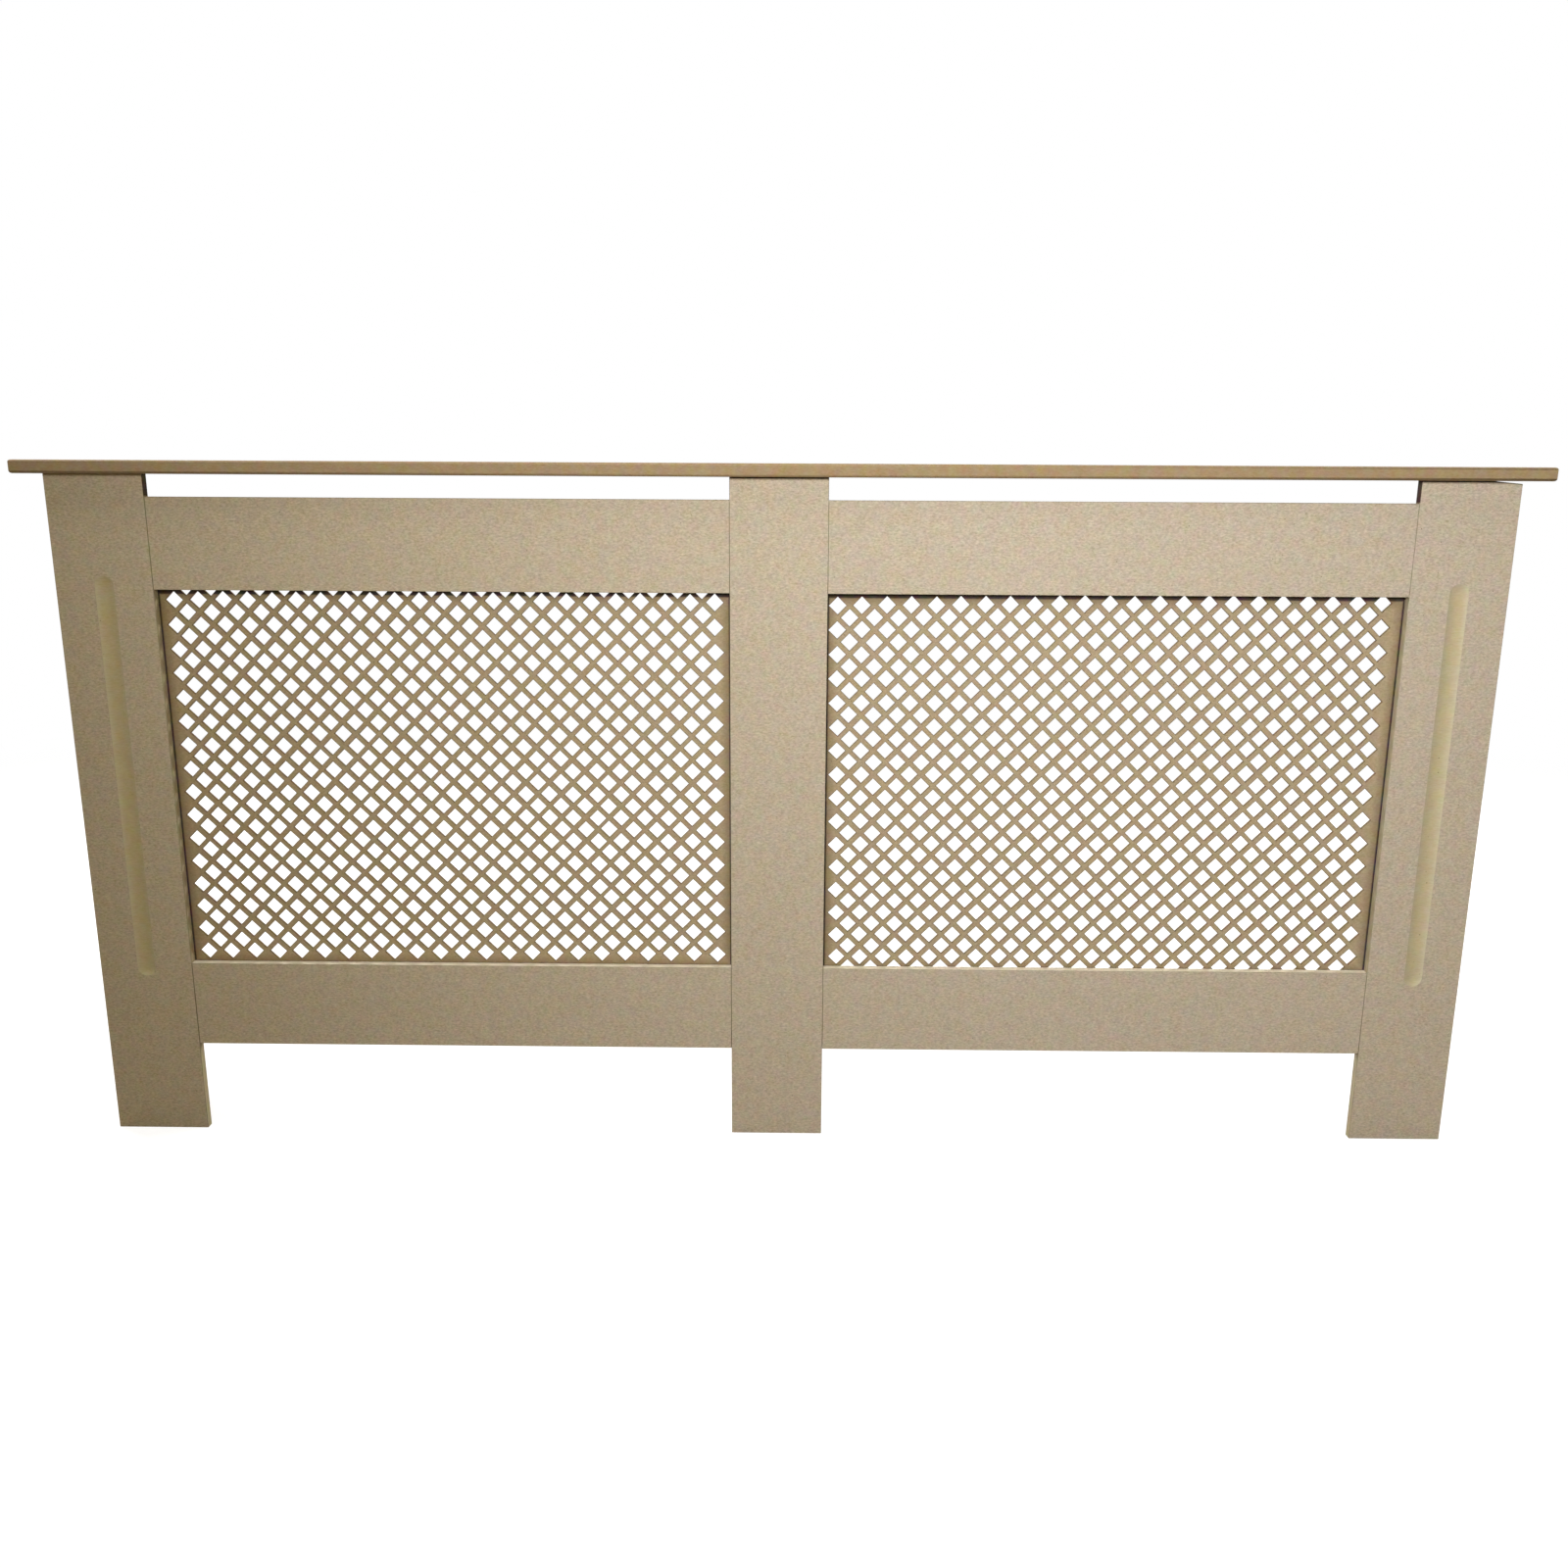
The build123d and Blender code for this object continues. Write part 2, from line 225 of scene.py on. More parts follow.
class StudioSettings(bpy.types.PropertyGroup):
    """Light, floor and camera."""

    key_power: power("Key lamp", "Power of the main lamp", 29.0)
    top_power: power("Top lamp", "Power of the lamp overhead", 15.5)
    rear_power: power("Rear lamps", "Power of each lamp behind", 58.0)
    lamp_colour: colour("Lamps", "Tint of the lamps", "FFFFFF")
    sky_colour: colour("Sky", "Tint of the even light all round", "FFE166")
    sky_strength: FloatProperty(
        name="Sky strength",
        description="Strength of the even light all round",
        default=0.12,
        min=0.0,
    )
    floor_colour: colour("Floor", "The floor as it lights the cabinet", "8E867A")
    lens: FloatProperty(
        name="Lens",
        description="Focal length on a 36 mm sensor",
        default=33.354,
        subtype="DISTANCE_CAMERA",
        unit="CAMERA",
    )
    lens_rise: FloatProperty(
        name="Lens rise",
        description="How far the picture is taken above the lens's axis",
        default=0.041,
    )


SETTING_GROUPS = {
    "cover_boards": BoardSizes,
    "cover_lattice": LatticeSizes,
    "cover_fastenings": FasteningSizes,
    "cover_colours": FinishColours,
    "cover_studio": StudioSettings,
}


# --- Materials ------------------------------------------------------------------------
def add_node(tree, kind, inputs=(), **settings):
    """Add a shader node with its settings, and give its sockets their values or links.

    The inputs are values by socket name, or in the order of the sockets in use: a Map
    Range's value, from and to, or a Mix's factor and two colours. A node among them
    stands for the first of its outputs in use.
    """
    node = tree.nodes.new("ShaderNode" + kind)
    for name, value in settings.items():
        setattr(node, name, value)
    if isinstance(inputs, dict):
        pairs = [(node.inputs[name], source) for name, source in inputs.items()]
    else:
        pairs = zip([socket for socket in node.inputs if socket.enabled], inputs)
    for socket, source in pairs:
        if isinstance(source, bpy.types.Node):
            source = next(output for output in source.outputs if output.enabled)
        if isinstance(source, bpy.types.NodeSocket):
            tree.links.new(source, socket)
        else:
            socket.default_value = source
    return node


def empty_tree(owner):
    """Empty the node tree of a material or world, and return what adds nodes to it."""
    owner.use_nodes = True
    owner.node_tree.nodes.clear()
    return partial(add_node, owner.node_tree)


def empty_material(name):
    """A material with no surface yet, what adds nodes to it, and each point's place."""
    made = bpy.data.materials.new(name)
    add = empty_tree(made)
    return made, add, add("TexCoord").outputs["Object"]


def per_metre(*sizes_mm):
    """How often a pattern repeats in a metre, by its size or its size on each axis."""
    rates = tuple(1000.0 / size for size in sizes_mm)
    return rates if len(rates) > 1 else rates[0]


def darker(tone, share):
    """A share of a colour."""
    return tuple(share * channel for channel in tone[:3]) + (1.0,)


def end_surface(add, tone, roughness, height, strength, depth_mm, more):
    """End a material with its surface: tone, roughness, relief and anything more."""
    depth = depth_mm * MM
    relief = add("Bump", {"Height": height, "Strength": strength, "Distance": depth})
    look = {"Base Color": tone, "Roughness": roughness, "Normal": relief, **more}
    add("OutputMaterial", {"Surface": add("BsdfPrincipled", look)})


def empty_board(name, fibre_mm, roughness, distortion=0.0):
    """An empty material for a board, with fibres of some sizes."""
    made, add, place = empty_material(name)
    streaks = add("Mapping", {"Vector": place, "Scale": per_metre(*fibre_mm)})
    strands = {"Detail": 4.0, "Roughness": roughness, "Distortion": distortion}
    fibres = add("TexNoise", {"Vector": streaks, "Scale": 1.0, **strands})
    return made, add, place, fibres


def finish_board(add, place, base, fibres, relief_mm, gloss, cloudy=0.06):
    """Cloud and fleck a board's colour, and give it its matt, slightly furred relief.

    The clouds are rosy, greenish and yellowish and about 12 mm wide. The flecks are
    bark, up to 1 mm wide, in a few of the cells of an 11 mm net.
    """
    clouds = add("TexNoise", {"Vector": place, "Scale": per_metre(12.0), "Detail": 2.0})
    clouded = add(
        "Mix",
        (cloudy, base, clouds.outputs["Color"]),
        data_type="RGBA",
        blend_type="LINEAR_LIGHT",
    )
    cells = add("TexVoronoi", {"Vector": place, "Scale": per_metre(11.0)})
    near = add("MapRange", (cells, 0.04, 0.085, 0.6, 0.0))
    chosen = add("MapRange", (cells.outputs["Color"], 0.6, 0.75))
    fleck = add("Math", (near, chosen), operation="MULTIPLY")
    bark = bpy.context.scene.cover_colours.fleck
    flecked = add("Mix", (fleck, clouded, bark), data_type="RGBA")
    dullness = add("MapRange", (fibres, 0.3, 0.7, 0.92, 0.76))
    shine = {"Specular IOR Level": gloss}
    end_surface(add, flecked, dullness, fibres, 0.6, relief_mm, shine)


def with_painted_warm_light(add, place, tone):
    """A board's tone with painted warm light, yellower towards the cabinet's left end.
    """
    shelf_low, shelf_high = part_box("top_shelf")
    along = add("SeparateXYZ", {"Vector": place}).outputs["X"]
    share = add("MapRange", (along, 0.3 * shelf_high.x, shelf_low.x))
    tint = bpy.context.scene.cover_colours.painted_warm_light
    return add("Mix", (share, tone, tint), data_type="RGBA", blend_type="MULTIPLY")


def sanded_face(name, fibre_mm):
    """Medium density fibreboard, pressed and sanded.

    The eye sees an even, matt, greyish beige, mottled by fine short streaks, with faint
    clouds and a dark bark fleck here and there. Real fibres are under a tenth of a
    millimetre wide, and are drawn as clumps of 2 to 4 mm.
    """
    colours = bpy.context.scene.cover_colours
    made, add, place, fibres = empty_board(name, fibre_mm, 0.62, 0.4)
    shades = (fibres, colours.face_dark, colours.face_pale)
    tone = with_painted_warm_light(add, place, add("Mix", shades, data_type="RGBA"))
    finish_board(add, place, tone, fibres, 0.12, 0.25)
    return made


def thin_board_face(name, dark, pale):
    """Thin high density fibreboard, hot pressed.

    The eye sees a browner, closer board than the frame's. Where it runs in behind the
    frame, a painted soft shade lies over about 12 mm of it, with a painted dark line of
    shade of 1 to 2 mm along the frame's edge.
    """
    colours = bpy.context.scene.cover_colours
    made, add, place, fibres = empty_board(name, (3.0, 3.0, 1.6), 0.6, 0.3)
    tone = add("Mix", (fibres, dark, pale), data_type="RGBA")
    # How far a point lies inside the frame's opening, by its nearest edge. The opening
    # counts as a little lower, so that the painted shade is deeper under the top rails.
    rail_low, rail_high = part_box("right_bottom_rail")
    panel_low, panel_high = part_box("right_lattice_panel")
    sill_z = rail_high.z - 1.8 * MM
    head_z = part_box("right_top_rail")[0].z - 2.7 * MM
    x, y, z = add("SeparateXYZ", {"Vector": place}).outputs
    across = add("Math", (x,), operation="ABSOLUTE")
    inside = []
    for point, start, end in ((across, rail_low.x, rail_high.x), (z, sill_z, head_z)):
        past_start = add("Math", (point, start), operation="SUBTRACT")
        before_end = add("Math", (end, point), operation="SUBTRACT")
        inside.append(add("Math", (past_start, before_end), operation="MINIMUM"))
    nearest = add("Math", inside, operation="MINIMUM")
    front = add("Math", (y, (panel_low.y + panel_high.y) / 2), operation="LESS_THAN")
    # Painted shade on the front along the opening's edge: a wide soft shade, and then a
    # narrow dark line.
    for start, end, most, layer, fall in (
        (1.0 * MM, 12.0 * MM, 0.6, colours.lattice_shade, "LINEAR"),
        (0.8 * MM, 2.8 * MM, 0.92, colours.painted_shading, "SMOOTHSTEP"),
    ):
        reach = (nearest, start, end, most, 0.0)
        beside = add("MapRange", reach, interpolation_type=fall)
        share = add("Math", (beside, front), operation="MULTIPLY")
        tone = add("Mix", (share, tone, layer), data_type="RGBA")
    finish_board(add, place, with_painted_warm_light(add, place, tone), fibres, 0.08, 0.28, 0.045)
    return made


def with_painted_light_and_shade(add, height, across, tone):
    """A sawn edge's tone with painted light and shade.

    What faces up is painted paler, as painted top light. The edge is painted dark brown
    as painted shade where it stands in the air slots, and as a painted contact shadow
    where it touches the shelf.
    """
    colours = bpy.context.scene.cover_colours
    rail_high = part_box("right_top_rail")[1]
    shelf_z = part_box("top_shelf")[0].z
    # Painted top light: surfaces that face up are painted paler.
    normal = add("NewGeometry").outputs["Normal"]
    facing = add("SeparateXYZ", {"Vector": normal}).outputs["Z"]
    pale = add("MapRange", (facing, 0.75, 0.95, 0.0, 0.95))
    # Painted shade in the air slots, and a painted contact shadow below the shelf.
    between = add("Math", (across, rail_high.x + 0.3 * MM), operation="LESS_THAN")
    slot = (rail_high.z + 0.2 * MM, rail_high.z + 1.5 * MM)
    above = add("MapRange", (height, *slot, 0.0, 0.85))
    in_slot = add("Math", (between, above), operation="MULTIPLY")
    joint = (shelf_z - 2.0 * MM, shelf_z - 1.3 * MM)
    below_shelf = add("MapRange", (height, *joint, 0.0, 0.97))
    dark = add("Math", (in_slot, below_shelf), operation="MAXIMUM")
    for share, layer in ((pale, colours.painted_top_light), (dark, colours.painted_shading)):
        tone = add("Mix", (share, tone, layer), data_type="RGBA")
    return tone


def cut_board(name, axis, node, tones, skin_mm, fibre_mm, painted_light_and_shade=False):
    """Fibreboard where a saw or a cutter has opened it, between two faces on an axis.

    The eye sees a dense, face-like skin and, deeper in, a yellower and more furry core
    with fine lines along the board. The node gives the board's thickness.
    """
    made, add, place, fibres = empty_board(name, fibre_mm, 0.7)
    low, high = (corner[axis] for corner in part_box(node))
    parts = add("SeparateXYZ", {"Vector": place}).outputs
    # Both ends of the cabinet share a material, so X counts from the middle.
    across = add("Math", (parts["X"],), operation="ABSOLUTE")
    point = across if axis == X else parts[axis]
    off_middle = add("Math", (point, (low + high) / 2), operation="SUBTRACT")
    distance = add("Math", (off_middle,), operation="ABSOLUTE")
    wavering = add("Math", (fibres, 0.6 * MM, distance), operation="MULTIPLY_ADD")
    surface = (high - low) / 2 + 0.3 * MM
    skin = (wavering, surface, surface - skin_mm * MM)
    depth = add("MapRange", skin, interpolation_type="SMOOTHSTEP")
    layered = add("Mix", (depth, *tones), data_type="RGBA")
    furred = (0.12, layered, fibres)
    tone = add("Mix", furred, data_type="RGBA", blend_type="LINEAR_LIGHT")
    # Edges cut across Y get the painted warm light too.
    if axis == Y:
        tone = with_painted_warm_light(add, place, tone)
    # The frame's edges get painted top light and painted shade.
    if painted_light_and_shade:
        tone = with_painted_light_and_shade(add, parts["Z"], across, tone)
    finish_board(add, place, tone, fibres, 0.2, 0.15)
    return made


def zinc_plated_steel(name, tone, roughness):
    """Mild steel, rolled and bright zinc plated.

    The eye sees a soft grey shine with fine rolling lines, drawn 0.35 mm apart, and
    slightly cloudy plating.
    """
    made, add, place = empty_material(name)
    rolling = add("Mapping", {"Vector": place, "Scale": per_metre(9.0, 9.0, 0.35)})
    lines = add("TexNoise", {"Vector": rolling, "Scale": 1.0, "Detail": 2.0})
    clouds = add("TexNoise", {"Vector": place, "Scale": per_metre(6.0), "Detail": 3.0})
    plating = add("Mix", (clouds, darker(tone, 0.6), tone), data_type="RGBA")
    rough = add("MapRange", (lines, 0.3, 0.7, roughness - 0.07, roughness + 0.09))
    end_surface(add, plating, rough, lines, 0.25, 0.03, {"Metallic": 1.0})
    return made


def moulded_plastic(name, tone):
    """Polypropylene, injection moulded in a spark-eroded mould.

    The eye sees off-white with a dull, waxy sheen and a very fine stipple of 0.6 mm.
    """
    made, add, place = empty_material(name)
    stipple = add("TexNoise", {"Vector": place, "Scale": per_metre(0.6), "Detail": 2.0})
    clouds = add("TexNoise", {"Vector": place, "Scale": per_metre(12.0), "Detail": 2.0})
    clouded = add("Mix", (clouds, darker(tone, 0.85), tone), data_type="RGBA")
    rough = add("MapRange", (stipple, 0.3, 0.7, 0.42, 0.56))
    depths = (2.0 * MM, 1.6 * MM, 1.2 * MM)
    waxy = {"IOR": 1.49, "Subsurface Weight": 0.06, "Subsurface Radius": depths}
    end_surface(add, clouded, rough, stipple, 0.2, 0.04, waxy)
    return made


def make_materials():
    """All the cabinet's materials by name."""
    colours = bpy.context.scene.cover_colours
    tone = {key: tuple(getattr(colours, key)) for key in FinishColours.__annotations__}
    sawn = tone["edge_skin"], tone["edge_core"]
    routed = tone["flute_skin"], tone["flute_core"]
    moulded = tone["shelf_skin"], tone["shelf_core"]
    thin = tone["lattice_cut"], tone["lattice_cut"]
    return {
        "face": sanded_face("sanded_fibreboard", (3.6, 3.6, 1.7)),
        "shelf_face": sanded_face("sanded_fibreboard_shelf", (3.6, 1.7, 3.6)),
        "frame_edge": cut_board(
            "sawn_fibreboard_frame", Y, "centre_stile", sawn, 1.6, (4.0, 0.9, 4.0), True
        ),
        # The cutter chattered down the flute, and left fine lines across it.
        "flute": cut_board(
            "routed_fibreboard_flute", Y, "centre_stile", routed, 2.6, (7.0, 7.0, 1.3)
        ),
        "side_edge": cut_board(
            "sawn_fibreboard_side", X, "right_side_panel", sawn, 1.6, (0.9, 4.0, 4.0)
        ),
        "shelf_edge": cut_board(
            "moulded_fibreboard_shelf", Z, "top_shelf", moulded, 2.5, (4.0, 4.0, 0.9)
        ),
        "lattice": thin_board_face(
            "pressed_thin_fibreboard", tone["lattice_dark"], tone["lattice_pale"]
        ),
        # The cutter scorched the board along the holes.
        "lattice_rim": thin_board_face(
            "scorched_thin_fibreboard", tone["rim_dark"], tone["rim_pale"]
        ),
        "lattice_cut": cut_board(
            "cut_thin_fibreboard", Y, "right_lattice_panel", thin, 0.5, (3.0, 0.6, 3.0)
        ),
        "zinc": zinc_plated_steel("zinc_plated_steel", tone["zinc"], 0.36),
        "screw": zinc_plated_steel("zinc_plated_screw", tone["screw"], 0.3),
        "plastic": moulded_plastic("moulded_polypropylene", tone["plastic"]),
    }


materials = {}


def material(name):
    """A material of the cabinet, made with the others the first time."""
    if not materials:
        materials.update(make_materials())
    return materials[name]


# --- Meshes ---------------------------------------------------------------------------
def mesh_from(name, bm):
    """A mesh from a bmesh, which is used up."""
    mesh = bpy.data.meshes.new(name)
    bm.to_mesh(mesh)
    bm.free()
    return mesh


def object_from(name, bm):
    """An object in the scene from a bmesh, which is used up."""
    made = bpy.data.objects.new(name, mesh_from(name, bm))
    bpy.context.scene.collection.objects.link(made)
    return made


def put_into(whole, part):
    """Put a bmesh into another one, and give back the new points."""
    known = len(whole.verts)
    mesh = mesh_from("part", part)
    whole.from_mesh(mesh)
    bpy.data.meshes.remove(mesh)
    whole.verts.ensure_lookup_table()
    return whole.verts[known:]


def finish_piece(name, bm, finishes, nodes=()):
    """Turn a bmesh into a piece that rides with the cabinet and replaces CAD nodes."""
    piece = object_from(name, bm)
    for finish in finishes:
        piece.data.materials.append(material(finish))
    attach(piece, BODY)
    if nodes:
        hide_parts(*nodes)


def finish_board_piece(node, bm, finishes):
    """Turn a bmesh into the piece for a board's CAD node."""
    finish_piece(f"{node}_board", bm, finishes, [node])


def everything(bm):
    """All the points, edges and faces of a bmesh."""
    return bm.verts[:] + bm.edges[:] + bm.faces[:]


def verts_in(items):
    """The points among some parts of a bmesh."""
    return [item for item in items if isinstance(item, bmesh.types.BMVert)]


def edges_where(bm, test):
    """The edges with both ends at places that pass a test."""
    return [edge for edge in bm.edges if all(test(vert.co) for vert in edge.verts)]


def edges_along(bm, axis):
    """The edges that run a millimetre or more along an axis."""
    found = []
    for edge in bm.edges:
        start, end = (vert.co[axis] for vert in edge.verts)
        if abs(end - start) > MM:
            found.append(edge)
    return found


def move(bm, verts, vec):
    """Move some points."""
    bmesh.ops.translate(bm, vec=vec, verts=verts)


def turn(bm, verts, angle, axis):
    """Turn some points about an axis through the origin."""
    matrix = Matrix.Rotation(angle, 3, axis)
    bmesh.ops.rotate(bm, verts=verts, cent=(0, 0, 0), matrix=matrix)


def smooth(bm):
    """Shade all faces smoothly."""
    for face in bm.faces:
        face.smooth = True


def block_between(low, high):
    """A box between two corners."""
    bm = bmesh.new()
    bmesh.ops.create_cube(bm, size=1.0)
    bmesh.ops.scale(bm, vec=high - low, verts=bm.verts)
    move(bm, bm.verts, (low + high) / 2)
    return bm


def close_up(bm):
    """Merge the points that meet, and turn all faces outwards."""
    bmesh.ops.remove_doubles(bm, verts=bm.verts, dist=MERGE)
    bmesh.ops.recalc_face_normals(bm, faces=bm.faces)


def thicken(bm, along):
    """Make a closed body of a flat sheet, by drawing it out along a vector."""
    grown = bmesh.ops.extrude_face_region(bm, geom=bm.faces[:])["geom"]
    move(bm, verts_in(grown), along)
    bmesh.ops.recalc_face_normals(bm, faces=bm.faces)


def prism(outline, along):
    """A flat outline, drawn out along a vector."""
    bm = bmesh.new()
    bm.faces.new([bm.verts.new(corner) for corner in outline])
    thicken(bm, along)
    return bm


def ease(bm, edges, offset, segments):
    """Round some edges, and shade the new faces smoothly."""
    made = bmesh.ops.bevel(
        bm,
        geom=list(edges),
        offset=offset,
        offset_type="OFFSET",
        segments=segments,
        profile=0.5,
        affect="EDGES",
        clamp_overlap=True,
        material=-1,
    )
    for face in made["faces"]:
        face.smooth = True


def carve(target, cutter):
    """Cut one closed bmesh out of another."""
    shape = object_from("carve_target", target)
    tool = object_from("carve_cutter", cutter)
    cut = shape.modifiers.new("cut", "BOOLEAN")
    cut.operation = "DIFFERENCE"
    cut.solver = "EXACT"
    cut.object = tool
    result = bmesh.new()
    result.from_object(shape, bpy.context.evaluated_depsgraph_get())
    for used in (shape, tool):
        mesh = used.data
        bpy.data.objects.remove(used)
        bpy.data.meshes.remove(mesh)
    return result


def split_finish(bm, axis):
    """Give the broad faces the first material, and all others the second."""
    bm.normal_update()
    for face in bm.faces:
        face.material_index = 0 if abs(face.normal[axis]) > FLAT else 1


def frame_board(node):
    """A board of the frame: eased a little more at its back than at its front."""
    sizes = bpy.context.scene.cover_boards
    low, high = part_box(node)
    if node.endswith("rail"):
        low.x += sizes.open_joint if node.startswith("left") else sizes.joint
        high.x -= sizes.joint
    if node.endswith("top_rail"):
        low.z += sizes.rail_relief
    bm = block_between(low, high)
    ease(bm, edges_where(bm, lambda at: at.y > high.y - MM), sizes.back_arris, 2)
    front = edges_where(bm, lambda at: at.y < low.y + MM)
    if node.endswith("stile"):
        top = [e for e in front if all(v.co.z > high.z - MM for v in e.verts)]
        ease(bm, top, sizes.top_arris, 2)
        top = edges_where(bm, lambda at: at.z > high.z - TOP_END)
        front = edges_where(bm, lambda at: at.y < low.y + NEAR)
        front = [e for e in front if e not in top]
    ease(bm, front, sizes.arris, 2)
    split_finish(bm, Y)
    return bm


def flute_cutter(middle_x, middle_z, front_y):
    """The space that a round-nosed cutter sweeps: a rod with round ends."""
    sizes = bpy.context.scene.cover_boards
    half_width = sizes.flute_width / 2
    radius = (half_width**2 + sizes.flute_depth**2) / (2 * sizes.flute_depth)
    half_travel = sizes.flute_length / 2 - half_width
    bm = bmesh.new()
    bmesh.ops.create_uvsphere(bm, u_segments=160, v_segments=80, radius=radius)
    upwards = {"plane_no": (0, 0, 1), "clear_inner": True}
    bmesh.ops.bisect_plane(bm, geom=everything(bm), plane_co=(0, 0, 0), **upwards)
    rim = [edge for edge in bm.edges if edge.is_boundary]
    move(bm, bm.verts, (0, 0, half_travel))
    grown = bmesh.ops.extrude_edge_only(bm, edges=rim)["geom"]
    move(bm, verts_in(grown), (0, 0, -half_travel))
    bmesh.ops.mirror(
        bm, geom=everything(bm), matrix=Matrix.Identity(4), merge_dist=MERGE, axis="Z"
    )
    close_up(bm)
    place = (middle_x, front_y + sizes.flute_depth - radius, middle_z)
    move(bm, bm.verts, place)
    smooth(bm)
    return bm


class FrameOperator(bpy.types.Operator):
    """Make the centre stile and the four rails"""

    bl_idname = "cover.frame_boards"
    bl_label = "Frame boards"

    def execute(self, context):
        rails = [f"{side}_{row}_rail" for side in SIDES for row in ("top", "bottom")]
        for node in ["centre_stile"] + rails:
            finish_board_piece(node, frame_board(node), ["face", "frame_edge"])
        return {"FINISHED"}


class EndStileOperator(bpy.types.Operator):
    """Make the two fluted end stiles"""

    bl_idname = "cover.end_stiles"
    bl_label = "End stiles"

    def execute(self, context):
        sizes = context.scene.cover_boards
        lattice_low, lattice_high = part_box("left_lattice_panel")
        flute_z = (lattice_low.z + lattice_high.z) / 2
        for side in SIDES:
            node = f"{side}_end_stile"
            low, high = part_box(node)
            middle_x = (low.x + high.x) / 2
            bm = frame_board(node)
            if side == "right":
                # The saw ran out at this stile's top: a thin wedge opens there.
                start = high.x - STILE_RUN_OUT
                bmesh.ops.bisect_plane(
                    bm, geom=everything(bm), plane_co=(start, 0, 0), plane_no=(1, 0, 0)
                )
                for vert in bm.verts:
                    if vert.co.z > high.z - TOP_END and vert.co.x > start:
                        share = (vert.co.x - start) / (high.x - start)
                        vert.co.z -= sizes.saw_error * share
            plain = len(bm.faces)
            bm = carve(bm, flute_cutter(middle_x, flute_z, low.y))
            if len(bm.faces) <= plain:
                raise RuntimeError(f"the flute of {node} wasn't cut")
            # The flute's faces look forward from below the board's front.
            bm.normal_update()
            for face in bm.faces:
                middle = face.calc_center_median()
                beside = abs(middle.x - middle_x) < sizes.flute_width / 2
                within = low.y + 2 * MERGE < middle.y < low.y + sizes.flute_depth + MM
                if beside and within and -0.99999 < face.normal.y < -0.1:
                    face.material_index = 2
                    face.smooth = True
            finish_board_piece(node, bm, ["face", "frame_edge", "flute"])
        return {"FINISHED"}


class SidePanelOperator(bpy.types.Operator):
    """Make the side panels with their skirting notches"""

    bl_idname = "cover.side_panels"
    bl_label = "Side panels"

    def execute(self, context):
        sizes = context.scene.cover_boards
        openings = frame["record"]["physics"]["openings"]
        notch = {opening["name"]: opening["box_m"] for opening in openings}
        for side in SIDES:
            node = f"{side}_side_panel"
            low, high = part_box(node)
            notch_low, notch_high = notch[f"{side}_skirting_notch"]
            notch_y = notch_low[Y] - OPENING_MARGIN
            notch_z = notch_high[Z] + OPENING_MARGIN
            outline = [
                (low.y, low.z),
                (notch_y, low.z),
                (notch_y, notch_z),
                (high.y, notch_z),
                (high.y, high.z),
                (low.y, high.z),
            ]
            if side == "right":
                # The wedge above the stile beside it goes on over this panel.
                outline[-1:] = [
                    (low.y + SIDE_RUN_OUT, high.z),
                    (low.y, high.z - sizes.saw_error),
                ]
            bm = prism([(low.x, y, z) for y, z in outline], (high.x - low.x, 0, 0))
            ease(bm, bm.edges, sizes.arris, 2)
            split_finish(bm, X)
            finish_board_piece(node, bm, ["face", "side_edge"])
        return {"FINISHED"}


class ShelfOperator(bpy.types.Operator):
    """Make the shelf with its rounded arrises"""

    bl_idname = "cover.shelf"
    bl_label = "Shelf"

    def execute(self, context):
        sizes = context.scene.cover_boards
        low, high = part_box("top_shelf")
        bm = block_between(low, high)
        back = edges_where(bm, lambda at: at.y > high.y - MM)
        upright = high.z - low.z + MM
        rounded = [e for e in bm.edges if e.calc_length() > upright and e not in back]
        ease(bm, rounded, sizes.shelf_arris, 5)
        split_finish(bm, Z)
        finish_board_piece("top_shelf", bm, ["shelf_face", "shelf_edge"])
        return {"FINISHED"}


# The order of a lattice panel's materials.
PLAIN, CUT, SCORCHED = range(3)


def off_place(rng, reach):
    """A small move in the plane of a panel, of at most a reach each way."""
    return Vector((rng.uniform(-reach, reach), 0.0, rng.uniform(-reach, reach)))


def lattice_cell():
    """One diamond hole round the origin, with its scorched rim and the board beside."""
    sizes = bpy.context.scene.cover_lattice
    bm = bmesh.new()
    bmesh.ops.create_circle(bm, cap_ends=True, segments=4, radius=sizes.pitch / 2)
    turn(bm, bm.verts, math.pi / 2, "X")
    hole = bm.faces[:]
    for finish, width in (
        (PLAIN, half_bar(sizes) - sizes.rim),
        (SCORCHED, sizes.rim),
    ):
        ring = bmesh.ops.inset_region(
            bm, faces=hole, thickness=width, use_even_offset=True, use_boundary=True
        )["faces"]
        for face in ring:
            face.material_index = finish
    bmesh.ops.delete(bm, geom=hole, context="FACES_ONLY")
    return bm


def half_bar(sizes):
    """Half the width of a bar between two holes."""
    return (sizes.pitch - sizes.diagonal) / 2 / math.sqrt(2)


